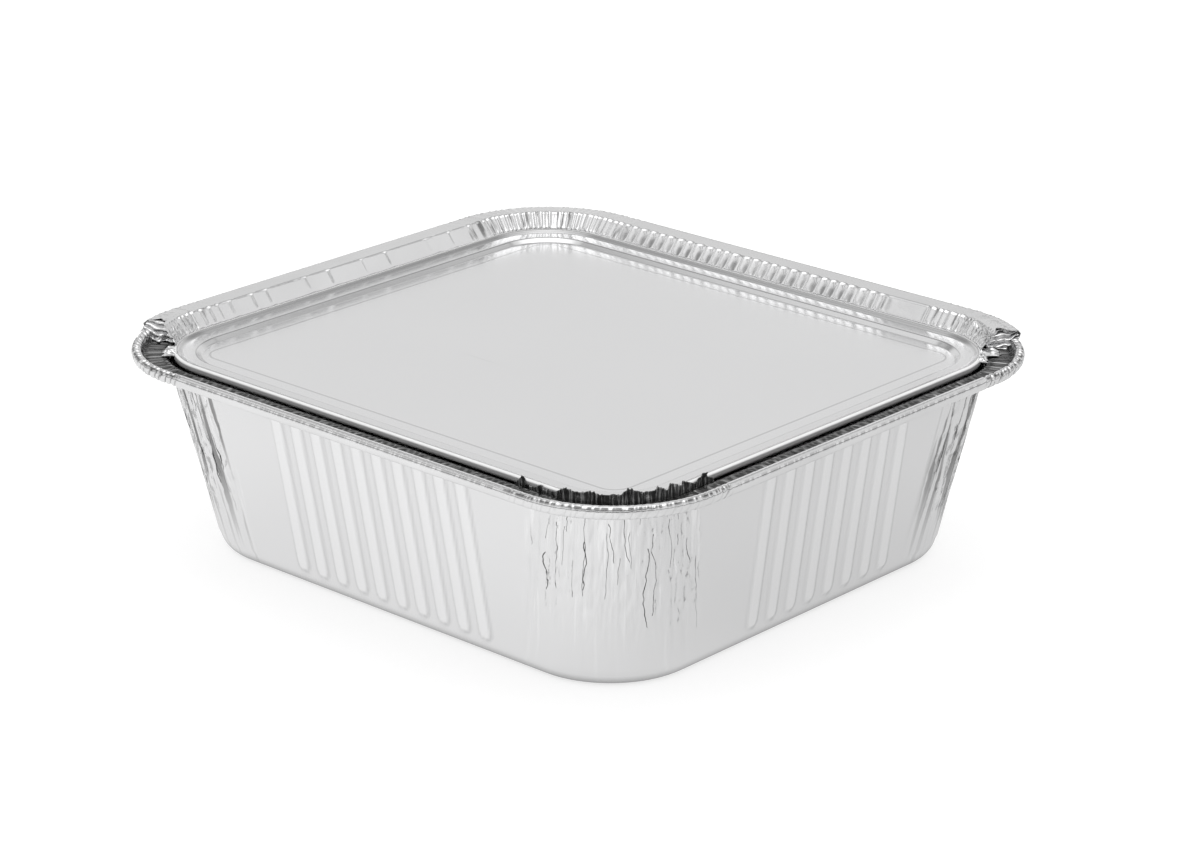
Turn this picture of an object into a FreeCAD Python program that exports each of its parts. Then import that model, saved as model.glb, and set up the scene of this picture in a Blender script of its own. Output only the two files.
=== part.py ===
# Foil food container: a pressed aluminium tray with a loose foil lid hooked over two of its sides.
# Millimetres, +Z up. The origin is the middle of the tray's underside.
import FreeCAD, Part
import math
import os

# Tray: rolled edge, ledge and walls
rim_length = 200.0        # across the rolled edge, along X
rim_width = 184.5         # across the rolled edge, along Y
rim_corner = 34.0         # plan radius of the rolled edge at the corners
foil = 0.3                # sheet thickness of both pieces
ledge_height = 55.5       # base to the top of the flat ledge
ledge_width = 7.2         # rolled edge to the mouth
bead_size = 3.0           # outside diameter of the rolled edge
bead_turn = 280.0         # degrees that the rolled edge curls through
bead_root_round = 0.6     # inside radius where the ledge turns up into the rolled edge
mouth_round = 1.2         # radius where the ledge turns down into the wall
wall_lean = 8.5           # how far the wall comes in from mouth to base
base_corner = 26.0        # plan radius of the wall at the base
base_round = 5.0          # radius between wall and base
base_flats = 3            # the round at the base is drawn in this many flats
corner_flat = 7.5         # degrees of each flat in the wall's corners
bend_flat = 45.0          # degrees of each flat in the rim's bends

# Tray: pressed ribs
rib_width = 4.4
rib_height = 0.6
rib_pitch = 7.5
rib_foot = 4.5            # base to a rib's lower end
rib_head_gap = 1.4        # mouth's turn to a rib's upper end
rib_runout = 2.6          # length over which a rib's end dies into the wall
rib_flats = 3             # a rib's crown is drawn in this many flats
ribs_on_long_side = 10
ribs_on_short_side = 8
rib_shift = 2.5           # the rows of ribs sit this far off the middle of their side

# Lid: panel and bands, from the foot of its wall inward
foot_gap = 2.0            # lid's foot to the tray's mouth, in plan
foot_height = 56.8        # base to the lid's foot
outer_band_width = 3.3
outer_band_drop = 1.0
inner_band_width = 2.3
inner_band_drop = 0.7
step_width = 1.4
step_drop = 1.5
panel_margin = 3.0        # flat strip kept between the step and the panel plate

# Lid: wall, flange and skirt over the two far sides
wall_run = 3.8            # how far the wall leans outward
wall_rise = 4.5
flange_drop = 1.0         # inner edge of the flange to its outer edge
flange_lap = 0.5          # how far the flange runs in past the wall's top
skirt_gap = 0.15          # rolled edge to the inside of the skirt
skirt_round = 0.6
skirt_depth = 4.0
left_wall_end = 38.0      # degrees that the wall runs on round the left corner
left_flange_end = 20.0
right_wall_end = 45.0
right_flange_end = 35.0

# Lid: pleats and flutes in the wall
pleat_depth = 0.8
corner_pleat = 2.4        # spacing at the corners, along the wall's foot
flute_depth = 0.5
flute_pitch = 3.6         # spacing on the fluted far side
ripple_depth = 0.1
ripple_pitch = 14.0       # spacing of the soft ripples on the smooth far side
wall_bite = 0.15          # how far the wall's edges sink into the pieces it joins

# Lid: hem along the two near sides
hem_reach = 0.7
hem_drop = 1.6

# Lid: torn wall left at the front corner
crown_overrun = 8.0       # how far it runs on along both near sides
crown_ear = 6.0           # length of the taller piece left at each end
crown_rise = 2.8          # height of the torn wall between the ears
notch_spacing = 6.2
notch_width = 2.6
notch_depth = 1.4

# Lid: torn tabs on the ledge at the left and right corners
tab_clearance = 0.2       # ledge to the underside of a tab
tab_reach = 5.2           # foot to the tab's end, in plan
tab_turn = 26.0           # degrees of corner that each tab covers
tab_gap_turn = 3.0        # degrees between the wall's end and the tab

mouth_inset = bead_size + ledge_width
turn_height = ledge_height - mouth_round
foot_inset = mouth_inset + foot_gap
wall_top_inset = foot_inset - wall_run
wall_top_height = foot_height + wall_rise
band_inset = foot_inset + outer_band_width
step_inset = band_inset + inner_band_width
panel_inset = step_inset + step_width
band_height = foot_height - outer_band_drop
step_height = band_height - inner_band_drop
panel_height = step_height - step_drop
centre_x = rim_length / 2 - rim_corner
centre_y = rim_width / 2 - rim_corner

# Corner centres and the direction, in degrees, in which each corner's arc starts
front = (centre_x, -centre_y, 270.0)
right = (centre_x, centre_y, 0.0)
back = (-centre_x, centre_y, 90.0)
left = (-centre_x, -centre_y, 180.0)
corners = [front, right, back, left]
quarter = 90.0
up = FreeCAD.Vector(0, 0, 1)


def outward(degrees):
    """Unit vector in plan."""
    turn = math.radians(degrees)
    return FreeCAD.Vector(math.cos(turn), math.sin(turn), 0)


def spot(corner, degrees, inset, height):
    """Point at an inset from the rolled edge's outside, seen from a corner's centre."""
    centre = FreeCAD.Vector(corner[0], corner[1], height)
    return centre + outward(degrees) * (rim_corner - inset)


def ring(inset, height):
    """Closed outline at an inset from the rim, with arcs at its corners."""
    edges = []
    for index, corner in enumerate(corners):
        following = corners[(index + 1) % len(corners)]
        arc = [spot(corner, corner[2] + quarter * step, inset, height) for step in (0, 0.5, 1)]
        edges.append(Part.Arc(*arc).toShape())
        edges.append(Part.makeLine(arc[-1], spot(following, following[2], inset, height)))
    return Part.Wire(edges)


def outline_points(inset, height, radius):
    """Points of an outline at an inset from the rim, with its own corner radius drawn in short flats."""
    count = round(quarter / corner_flat)
    reach_x = rim_length / 2 - inset - radius
    reach_y = rim_width / 2 - inset - radius
    points = []
    for corner in corners:
        centre = FreeCAD.Vector(math.copysign(reach_x, corner[0]), math.copysign(reach_y, corner[1]), height)
        points += [centre + outward(corner[2] + quarter * index / count) * radius for index in range(count + 1)]
    return points


def flat(points):
    """Flat face with its corners at the points."""
    return Part.Face(Part.makePolygon(points + points[:1]))


def stack(outlines):
    """Solid through a stack of outlines that have as many points each, with flat faces between them."""
    faces = [flat(outlines[0]), flat(outlines[-1])]
    for lower, upper in zip(outlines, outlines[1:]):
        for index in range(len(lower)):
            following = (index + 1) % len(lower)
            faces.append(flat([lower[index], lower[following], upper[following], upper[index]]))
    shell = Part.makeShell(faces)
    shell.sewShape()
    solid = Part.Solid(Part.Shell(shell.Faces))
    if solid.Volume < 0:
        solid.reverse()
    return solid


def loft(wires):
    return Part.makeLoft(wires, True, True)


def around(corner, profile, start, turn):
    """Solid made by turning a profile about a corner's centre, from start through turn degrees."""
    face = profile(corner, corner[2] + start)
    centre = FreeCAD.Vector(corner[0], corner[1], 0)
    return face.revolve(centre, up, turn)


def along(corner, following, profile, start=0.0, end=0.0):
    """Solid made by drawing a profile along the side between two corners, less start and end."""
    degrees = corner[2] + quarter
    face = profile(corner, degrees)
    run = FreeCAD.Vector(following[0] - corner[0], following[1] - corner[1], 0)
    way = FreeCAD.Vector(run).normalize()
    face.translate(way * start)
    return face.extrude(way * (run.Length - start - end))


def all_round(profile):
    """The four corners and four sides of a section that runs right round."""
    pieces = []
    for index, corner in enumerate(corners):
        following = corners[(index + 1) % len(corners)]
        pieces.append(around(corner, profile, 0.0, quarter))
        pieces.append(along(corner, following, profile))
    return pieces


def fused(pieces):
    return pieces[0].multiFuse(pieces[1:]).removeSplitter()


def arc_points(centre, size, begin, finish):
    """Points of an arc in a section, as inset and height, with a last short flat when they don't divide."""
    count = math.ceil(abs(finish - begin) / bend_flat)
    step = math.copysign(bend_flat, finish - begin)
    turns = [math.radians(begin + step * index) for index in range(count)] + [math.radians(finish)]
    return [(centre[0] + size * math.cos(turn), centre[1] + size * math.sin(turn)) for turn in turns]


def rim_profile(corner, degrees):
    """Section of the rim: turn at the mouth, flat ledge, upturn and open curl."""
    radius = bead_size / 2
    curl = (radius, ledge_height + radius)
    turn = (mouth_inset + foil - mouth_round, turn_height)
    root = (bead_size + bead_root_round, ledge_height + bead_root_round)
    upper = arc_points(turn, mouth_round, 0.0, quarter)
    upper += arc_points(root, bead_root_round, 3 * quarter, 2 * quarter)
    upper += arc_points(curl, radius, 0.0, bead_turn)
    lower = arc_points(turn, mouth_round - foil, 0.0, quarter)
    lower += arc_points(root, bead_root_round + foil, 3 * quarter, 2 * quarter)
    lower += arc_points(curl, radius - foil, 0.0, bead_turn)
    outline = [spot(corner, degrees, inset, height) for inset, height in upper + lower[::-1]]
    return flat(outline)


def wall_inset_at(height):
    """Inset of the wall's outer face."""
    return mouth_inset + wall_lean * (turn_height - height) / turn_height


def rib_bar(low, high, across, sideways, radius, turn):
    """Bar with a crown in flats and tapered ends, along the line from low to high."""
    way = FreeCAD.Vector(high - low).normalize()
    end_radius = radius - rib_height - foil / 2
    places = [
        (low, end_radius),
        (low + way * rib_runout, radius),
        (high - way * rib_runout, radius),
        (high, end_radius),
    ]
    step = 2 * turn / rib_flats
    turns = [step * index - turn for index in range(-1, rib_flats + 2)]
    outlines = []
    for centre, size in places:
        crown = [centre + (across * math.cos(angle) + sideways * math.sin(angle)) * size for angle in turns]
        outlines.append([centre] + crown)
    return stack(outlines)


def rib_bars(radius, depth):
    """Bars that lie along the walls, sunk so that only a shallow crown stands out."""
    rows = [
        (rim_width / 2, 270.0, ribs_on_long_side),
        (rim_length / 2, 0.0, ribs_on_short_side),
        (rim_width / 2, 90.0, ribs_on_long_side),
        (rim_length / 2, 180.0, ribs_on_short_side),
    ]
    head = turn_height - rib_head_gap
    turn = math.asin(rib_width / 2 / (depth + rib_height))
    bars = []
    for reach, degrees, count in rows:
        out = outward(degrees)
        sideways = FreeCAD.Vector(abs(out.y), abs(out.x), 0)
        low = out * (reach - wall_inset_at(rib_foot) - depth) + up * rib_foot
        high = out * (reach - wall_inset_at(head) - depth) + up * head
        across = FreeCAD.Vector(high - low).normalize().cross(sideways)
        if across.dot(out) < 0:
            across = across * -1
        bar = rib_bar(low, high, across, sideways, radius, turn)
        for index in range(count):
            place = sideways * ((index - (count - 1) / 2) * rib_pitch + rib_shift)
            bars.append(bar.translated(place))
    return bars


def tray_body(sink):
    """Tapered block with a rounded bottom edge: the tray's outside, or its hollow when sunk by the foil."""
    lean = math.atan2(wall_lean, turn_height)
    size = base_round - sink
    base_inset = wall_inset_at(0.0)
    centre_inset = base_inset + base_round * (1 - math.sin(lean)) / math.cos(lean)
    levels = []
    for index in range(base_flats + 1):
        turn = (math.pi / 2 - lean) * index / base_flats
        inset = centre_inset - size * math.sin(turn)
        height = base_round - size * math.cos(turn)
        levels.append(outline_points(inset, height, base_corner + base_inset - inset))
    levels.append(outline_points(mouth_inset + sink, turn_height, rim_corner - mouth_inset - sink))
    return stack(levels)


def make_tray():
    rib_radius = (rib_width ** 2 / 4 + rib_height ** 2) / (2 * rib_height)
    rib_depth = rib_radius - rib_height
    outside = tray_body(0.0).fuse(rib_bars(rib_radius, rib_depth))
    hollow = tray_body(foil).fuse(rib_bars(rib_radius - foil, rib_depth))
    walls = outside.cut(hollow)
    return fused([walls] + all_round(rim_profile))


def offset_line(points, distance):
    """Open line moved sideways by a distance, with its bends mitred."""
    moved = []
    for index, point in enumerate(points):
        before = points[max(index - 1, 0)]
        after = points[min(index + 1, len(points) - 1)]
        if index == 0:
            before, ahead = point, after
            normals = [unit_normal(before, ahead)]
        elif index == len(points) - 1:
            normals = [unit_normal(before, point)]
        else:
            normals = [unit_normal(before, point), unit_normal(point, after)]
        mean_x = sum(n[0] for n in normals) / len(normals)
        mean_y = sum(n[1] for n in normals) / len(normals)
        scale = distance / (mean_x ** 2 + mean_y ** 2)
        moved.append((point[0] + mean_x * scale, point[1] + mean_y * scale))
    return moved


def unit_normal(start, end):
    run_x = end[0] - start[0]
    run_y = end[1] - start[1]
    length = math.hypot(run_x, run_y)
    return (-run_y / length, run_x / length)


def sheet_profile(points):
    """Section of foil whose upper face follows the points, given as inset and height, going outward."""
    under = offset_line(points, foil)

    def profile(corner, degrees):
        outline = [spot(corner, degrees, inset, height) for inset, height in points + under[::-1]]
        return flat(outline)

    return profile


def stations(corner, start, turn, spacing):
    """Places round a corner: a point in plan and the outward direction there."""
    length = math.radians(turn) * (rim_corner - foot_inset)
    count = 2 * max(1, round(length / spacing))
    places = []
    for index in range(count + 1):
        degrees = corner[2] + start + turn * index / count
        places.append((FreeCAD.Vector(corner[0], corner[1], 0), outward(degrees)))
    return places


def side_stations(corner, following, spacing, start=0.0, end=0.0):
    """Places along a side, leaving out its two ends, which the corners give."""
    begin = FreeCAD.Vector(corner[0], corner[1], 0)
    run = FreeCAD.Vector(following[0], following[1], 0) - begin
    way = FreeCAD.Vector(run).normalize()
    length = run.Length - start - end
    count = 2 * max(1, round(length / spacing))
    out = outward(corner[2] + quarter)
    return [(begin + way * (start + length * index / count), out) for index in range(1, count)]


def folded_wall(places):
    """Leaning strip of foil, folded in and out at its stations, as (centre, outward, depth)."""
    levels = [
        (foot_inset + wall_bite, foot_height - foil / 2),
        (wall_top_inset - wall_bite, wall_top_height - foil / 2),
    ]
    wires = []
    for inset, height in levels:
        inner = []
        outer = []
        for index, (centre, out, depth) in enumerate(places):
            fold = depth / 2 if index % 2 else -depth / 2
            reach = rim_corner - inset + fold
            inner.append(centre + out * (reach - foil / 2) + up * height)
            outer.append(centre + out * (reach + foil / 2) + up * height)
        outline = inner + outer[::-1]
        wires.append(Part.makePolygon(outline + outline[:1]))
    return loft(wires)


def deep(places, depth):
    return [(centre, out, depth) for centre, out in places]


def far_wall():
    """Wall of the lid from the right corner, over the fluted and the smooth far side, to the left corner."""
    places = deep(stations(right, quarter - right_wall_end, right_wall_end, corner_pleat), pleat_depth)
    places += deep(side_stations(right, back, flute_pitch), flute_depth)
    places += deep(stations(back, 0.0, quarter, corner_pleat), pleat_depth)
    places += deep(side_stations(back, left, ripple_pitch), ripple_depth)
    places += deep(stations(left, 0.0, left_wall_end, corner_pleat), pleat_depth)
    return folded_wall(places)


def far_flange():
    """Flange over the tray's rim with its skirt, on the two far sides."""
    edge = -(skirt_gap + foil)
    slope_start = (wall_top_inset + flange_lap, wall_top_height)
    slope_end = (edge + skirt_round, wall_top_height - flange_drop)
    shoulder = (edge, slope_end[1] - skirt_round)
    hem = (edge, slope_end[1] - skirt_depth)
    profile = sheet_profile([slope_start, slope_end, shoulder, hem])
    return [
        around(right, profile, quarter - right_flange_end, right_flange_end),
        along(right, back, profile),
        around(back, profile, 0.0, quarter),
        along(back, left, profile),
        around(left, profile, 0.0, left_flange_end),
    ]


def near_hem():
    """Edge of the lid along the two near sides, bent down inside the mouth."""
    start = (foot_inset + wall_bite, foot_height - wall_bite * outer_band_drop / outer_band_width)
    bend = (foot_inset - hem_reach, foot_height - hem_reach / 2)
    edge = (foot_inset - hem_reach, foot_height - hem_drop)
    profile = sheet_profile([start, (foot_inset, foot_height), bend, edge])
    return [along(left, front, profile), around(front, profile, 0.0, quarter), along(front, right, profile)]


def front_crown():
    """Wall left standing at the front corner, with its top torn away between two ears."""
    places = [(FreeCAD.Vector(front[0] - crown_overrun, front[1], 0), outward(front[2]))]
    places += stations(front, 0.0, quarter, corner_pleat)
    places += [(FreeCAD.Vector(front[0], front[1] + crown_overrun, 0), outward(front[2] + quarter))]
    wall = folded_wall(deep(places, pleat_depth))
    tear_height = foot_height + crown_rise
    above = Part.makeBox(rim_length, rim_length, wall_rise, FreeCAD.Vector(0, -rim_length, tear_height))
    ear_x = FreeCAD.Vector(0, -rim_length, tear_height)
    left_ear = Part.makeBox(centre_x - crown_overrun + crown_ear, rim_length, wall_rise, ear_x)
    ear_y = FreeCAD.Vector(0, -centre_y + crown_overrun - crown_ear, tear_height)
    right_ear = Part.makeBox(rim_length, rim_length, wall_rise, ear_y)
    tools = [above.cut([left_ear, right_ear])]
    arc_length = math.radians(quarter) * (rim_corner - foot_inset)
    count = round(arc_length / notch_spacing)
    for index in range(count):
        degrees = front[2] + quarter * (index + 0.5) / count
        tools.append(notch(front, degrees, tear_height))
    return wall.cut(tools)


def notch(corner, degrees, height):
    """V-shaped tool that points down into a torn edge."""
    out = outward(degrees)
    across = out.cross(up)
    start = spot(corner, degrees, foot_inset + wall_run, height)
    points = [
        start + across * notch_width / 2 + up * foil,
        start - across * notch_width / 2 + up * foil,
        start - up * notch_depth,
    ]
    past_outermost_fold = 3 * wall_run
    return flat(points).extrude(out * past_outermost_fold)


def torn_tab(corner, start, turn):
    """Torn strip of the wall folded down on the ledge."""
    rest_height = ledge_height + tab_clearance + foil
    middle = foot_inset - tab_reach / 2
    points = [(foot_inset + foil, foot_height), (middle, rest_height + foil), (foot_inset - tab_reach, rest_height)]
    return around(corner, sheet_profile(points), start, turn)


def make_lid():
    bands = sheet_profile([
        (panel_inset + panel_margin, panel_height),
        (panel_inset, panel_height),
        (step_inset, step_height),
        (band_inset, band_height),
        (foot_inset, foot_height),
    ])
    plate = Part.Face(ring(panel_inset + panel_margin, panel_height - foil)).extrude(up * foil)
    pieces = [plate] + all_round(bands) + near_hem() + far_flange()
    pieces += [far_wall(), front_crown()]
    pieces.append(torn_tab(left, left_wall_end + tab_gap_turn, tab_turn))
    pieces.append(torn_tab(right, quarter - right_wall_end - tab_gap_turn - tab_turn, tab_turn))
    return fused(pieces)


os.makedirs("parts", exist_ok=True)
for name, make in (("tray", make_tray), ("lid", make_lid)):
    shape = make()
    shape.exportStep("parts/" + name + ".step")
    print(name, len(shape.Solids), "solids", shape.isValid(), round(shape.Volume, 1))
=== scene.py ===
import bpy
import math
import random
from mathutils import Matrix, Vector, noise


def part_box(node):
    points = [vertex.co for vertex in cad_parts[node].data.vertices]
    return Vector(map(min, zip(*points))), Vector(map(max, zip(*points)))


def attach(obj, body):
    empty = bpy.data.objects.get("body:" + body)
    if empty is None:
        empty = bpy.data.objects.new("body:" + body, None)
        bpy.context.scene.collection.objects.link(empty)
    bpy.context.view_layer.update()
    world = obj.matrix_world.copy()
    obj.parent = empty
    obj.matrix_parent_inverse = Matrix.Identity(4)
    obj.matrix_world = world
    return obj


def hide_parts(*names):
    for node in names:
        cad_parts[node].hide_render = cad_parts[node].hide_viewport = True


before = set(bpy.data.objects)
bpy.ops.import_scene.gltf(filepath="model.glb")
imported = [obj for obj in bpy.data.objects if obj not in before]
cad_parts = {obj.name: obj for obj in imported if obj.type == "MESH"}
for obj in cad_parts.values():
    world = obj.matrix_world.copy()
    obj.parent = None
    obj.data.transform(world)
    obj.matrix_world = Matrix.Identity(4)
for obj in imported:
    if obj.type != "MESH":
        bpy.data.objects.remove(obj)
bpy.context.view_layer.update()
print("frame loaded")

mm = 0.001
scene = bpy.context.scene

# Outline of the rolled rim, read from the tray's own box. Everything below is an inset from it.
trayLow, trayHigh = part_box("tray")
rim = {
    "length": (trayHigh[0] - trayLow[0]) / mm,
    "width": (trayHigh[1] - trayLow[1]) / mm,
    "corner": 34.0,
    "ledge": 55.5,      # height of the flat ledge
    "bead": 3.0,        # outside diameter of the rolled edge
    "mouth": 10.2,      # inset of the wall where it meets the ledge
    "foot": 12.2,       # inset of the lid's foot
    "footHeight": 56.8,
    "cornerFade": 14.0, # length over which a corner's pressing fades into the side beside it
}
cornerStart = {"front": 270.0, "right": 0.0, "back": 90.0, "left": 180.0}
cornerSign = {"front": (1, -1), "right": (1, 1), "back": (-1, 1), "left": (-1, -1)}
cornerOrder = ["front", "right", "back", "left"]


def smooth(value, low, high):
    t = min(max((value - low) / (high - low), 0.0), 1.0)
    return t * t * (3 - 2 * t)


# A station is a place on the way round: a corner with an angle, or a side with a fraction of its length.
def station(corner, turn=None, fraction=None):
    half = (rim["length"] / 2 - rim["corner"], rim["width"] / 2 - rim["corner"])
    arc = math.radians(90) * rim["corner"]
    along = 0.0
    for name in cornerOrder:
        if name == corner:
            break
        along += arc + 2 * (half[1] if name in ("front", "back") else half[0])
    if turn is not None:
        return {"corner": corner, "turn": turn, "fraction": None, "along": along + arc * turn / 90,
                "onCorner": 1.0, "toCorner": 0.0}
    # The last side counts up to zero from its middle on, so that nothing jumps at the front corner.
    if corner == "left" and fraction > 0.5:
        along -= 4 * (arc + half[0] + half[1])
    sideLength = 2 * (half[1] if corner in ("front", "back") else half[0])
    return {"corner": corner, "turn": 90.0, "fraction": fraction,
            "along": along + arc + fraction * sideLength,
            "onCorner": 0.0, "toCorner": (0.5 - abs(fraction - 0.5)) * sideLength}


def outwardAt(angle):
    return (math.cos(math.radians(angle)), math.sin(math.radians(angle)))


def placeAt(spot, inset, radius=None):
    if radius is None:
        radius = rim["corner"] - inset
    halfX = rim["length"] / 2 - inset - radius
    halfY = rim["width"] / 2 - inset - radius
    sign = cornerSign[spot["corner"]]
    out = outwardAt(cornerStart[spot["corner"]] + spot["turn"])
    centre = [sign[0] * halfX, sign[1] * halfY]
    if spot["fraction"] is not None:
        following = cornerSign[cornerOrder[(cornerOrder.index(spot["corner"]) + 1) % 4]]
        end = [following[0] * halfX, following[1] * halfY]
        centre = [centre[k] + (end[k] - centre[k]) * spot["fraction"] for k in (0, 1)]
    return centre[0] + out[0] * radius, centre[1] + out[1] * radius, out


# All the way round, with its own spacing on the corners and the sides.
def wholeLoop(cornerStep, sideStep):
    spots = []
    for corner in cornerOrder:
        count = max(2, round(math.radians(90) * rim["corner"] / cornerStep))
        spots += [station(corner, turn=90 * k / count) for k in range(count)]
        sideLength = rim["width"] if corner in ("front", "back") else rim["length"]
        sideLength -= 2 * rim["corner"]
        count = max(2, round(sideLength / sideStep))
        spots += [station(corner, fraction=k / count) for k in range(count)]
    return spots


# Foil as a grid: rows of points along a section, one row for each station.
def foilSheet(name, rows, closed, upward, cap=False):
    verts = []
    known = ("along", "onCorner", "sideX", "sideKind", "ribShift")
    facts = {key: [] for key in known + ("across", "height")}
    width = len(rows[0])
    for row in rows:
        run = 0.0
        last = None
        for point in row:
            here = Vector(point["at"])
            if last is not None:
                run += (here - last).length
            last = here
            verts.append([v * mm for v in point["at"]])
            facts["across"].append(run)
            facts["height"].append(point["at"][2])
            for key in known:
                facts[key].append(point[key])
    faces = []
    count = len(rows)
    for i in range(count if closed else count - 1):
        a = i * width
        b = ((i + 1) % count) * width
        for j in range(width - 1):
            quad = (a + j, b + j, b + j + 1, a + j + 1)
            faces.append(quad[::-1] if upward else quad)
    if cap:
        ring = [i * width for i in range(count)]
        faces.append(ring if upward else ring[::-1])
    mesh = bpy.data.meshes.new(name)
    mesh.from_pydata(verts, [], faces)
    for key, values in facts.items():
        mesh.attributes.new(key, "FLOAT", "POINT").data.foreach_set("value", values)
    mesh.polygons.foreach_set("use_smooth", [True] * len(faces))
    mesh.update()
    piece = bpy.data.objects.new(name, mesh)
    scene.collection.objects.link(piece)
    return piece


sideKinds = {"front": 1.0, "right": 2.0, "back": 3.0, "left": 4.0}


def pointOf(spot, inset, height, radius=None, push=0.0, ribShift=0.0):
    x, y, out = placeAt(spot, inset, radius)
    return {"at": (x + out[0] * push, y + out[1] * push, height), "along": spot["along"],
            "onCorner": max(spot["onCorner"], smooth(-spot["toCorner"], -rim["cornerFade"], 0.0)),
            "sideX": y * out[0] - x * out[1],
            "sideKind": sideKinds[spot["corner"]] * (1 - spot["onCorner"]), "ribShift": ribShift}


# Small helpers for node trees. A new node goes into the tree that the given sockets belong to.
def isSocket(value):
    return hasattr(value, "is_output")


def treeOf(*values):
    return next(value.id_data for value in values if isSocket(value))


def feed(node, name, value):
    if isSocket(value):
        node.id_data.links.new(value, node.inputs[name])
    elif value is not None:
        node.inputs[name].default_value = value


def calc(operation, a, b=None):
    node = treeOf(a, b).nodes.new("ShaderNodeMath")
    node.operation = operation
    feed(node, 0, a)
    feed(node, 1, b)
    return node.outputs[0]


def chained(operation, values):
    result = values[0]
    for value in values[1:]:
        result = calc(operation, result, value)
    return result


def plus(*values):
    return chained("ADD", values)


def minus(*values):
    return chained("SUBTRACT", values)


def times(*values):
    return chained("MULTIPLY", values)


def over(*values):
    return chained("DIVIDE", values)


# A soft step of a value between two levels.
def ramp(value, fromLow, fromHigh, toLow=0.0, toHigh=1.0, kind="SMOOTHSTEP"):
    node = treeOf(value).nodes.new("ShaderNodeMapRange")
    node.interpolation_type = kind
    for name, given in (("Value", value), ("From Min", fromLow), ("From Max", fromHigh),
                        ("To Min", toLow), ("To Max", toHigh)):
        feed(node, name, given)
    return node.outputs["Result"]


def factOf(tree, name):
    node = tree.nodes.new("GeometryNodeInputNamedAttribute")
    node.data_type = "FLOAT"
    node.inputs["Name"].default_value = name
    return node.outputs["Attribute"]


def noiseOf(vector, scale, detail, roughness=0.5):
    node = treeOf(vector).nodes.new("ShaderNodeTexNoise")
    feed(node, "Vector", vector)
    feed(node, "Scale", scale)
    feed(node, "Detail", detail)
    feed(node, "Roughness", roughness)
    return node.outputs[0]


def noiseAt(x, y, z, detail, roughness=0.5):
    place = treeOf(x, y, z).nodes.new("ShaderNodeCombineXYZ")
    for index, value in enumerate((x, y, z)):
        feed(place, index, value)
    return noiseOf(place.outputs[0], 1.0, detail, roughness)


def newGeometryTree(name, sizes):
    tree = bpy.data.node_groups.new(name, "GeometryNodeTree")
    tree.interface.new_socket("Geometry", in_out="INPUT", socket_type="NodeSocketGeometry")
    tree.interface.new_socket("Geometry", in_out="OUTPUT", socket_type="NodeSocketGeometry")
    ids = {}
    for label, value in sizes.items():
        item = tree.interface.new_socket(label, in_out="INPUT", socket_type="NodeSocketFloat")
        item.default_value = value
        ids[label] = item.identifier
    start = tree.nodes.new("NodeGroupInput")
    return tree, start, ids


# Ends a tree: keeps marks for the material, moves the points along their normals, then Realize Instances
# and Set Material.
def finishGeometryTree(tree, start, lift, material, marks):
    geometry = start.outputs["Geometry"]
    for name, value in marks.items():
        keep = tree.nodes.new("GeometryNodeStoreNamedAttribute")
        keep.data_type = "FLOAT"
        keep.domain = "POINT"
        keep.inputs["Name"].default_value = name
        tree.links.new(geometry, keep.inputs["Geometry"])
        tree.links.new(value, keep.inputs["Value"])
        geometry = keep.outputs["Geometry"]
    scaled = tree.nodes.new("ShaderNodeVectorMath")
    scaled.operation = "SCALE"
    tree.links.new(tree.nodes.new("GeometryNodeInputNormal").outputs[0], scaled.inputs[0])
    tree.links.new(times(lift, mm), scaled.inputs["Scale"])
    move = tree.nodes.new("GeometryNodeSetPosition")
    tree.links.new(geometry, move.inputs["Geometry"])
    tree.links.new(scaled.outputs[0], move.inputs["Offset"])
    realize = tree.nodes.new("GeometryNodeRealizeInstances")
    tree.links.new(move.outputs[0], realize.inputs[0])
    paint = tree.nodes.new("GeometryNodeSetMaterial")
    paint.inputs["Material"].default_value = material
    tree.links.new(realize.outputs[0], paint.inputs["Geometry"])
    end = tree.nodes.new("NodeGroupOutput")
    tree.links.new(paint.outputs[0], end.inputs["Geometry"])


# The values that a tree takes as its inputs.
def picked(values, names):
    return {name: values[name] for name in names.split()}


def runTree(piece, tree, ids, sizes):
    modifier = piece.modifiers.new(tree.name, "NODES")
    modifier.node_group = tree
    for label, value in sizes.items():
        modifier[ids[label]] = float(value)
    settle(piece)


# Turns the evaluated result into a plain mesh and drops the modifiers.
def settle(piece):
    bpy.context.view_layer.update()
    graph = bpy.context.evaluated_depsgraph_get()
    result = bpy.data.meshes.new_from_object(piece.evaluated_get(graph), preserve_all_data_layers=True,
                                             depsgraph=graph)
    old = piece.data
    piece.modifiers.clear()
    piece.data = result
    result.name = piece.name
    bpy.data.meshes.remove(old)


# Gives the sheet its thickness, inward from the outer surface.
def thicken(piece, thickness):
    solid = piece.modifiers.new("foil", "SOLIDIFY")
    solid.thickness = thickness * mm
    solid.offset = -1.0
    solid.use_even_offset = False
    settle(piece)


# Reads a mark that a mesh carries.
def markOf(tree, name):
    node = tree.nodes.new("ShaderNodeAttribute")
    node.attribute_name = name
    return node.outputs["Fac"]


# One between two levels of a value and none outside them.
def bandOf(value, low, high, soft):
    return times(ramp(value, low - soft, low + soft), ramp(value, high + soft, high - soft))


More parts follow.
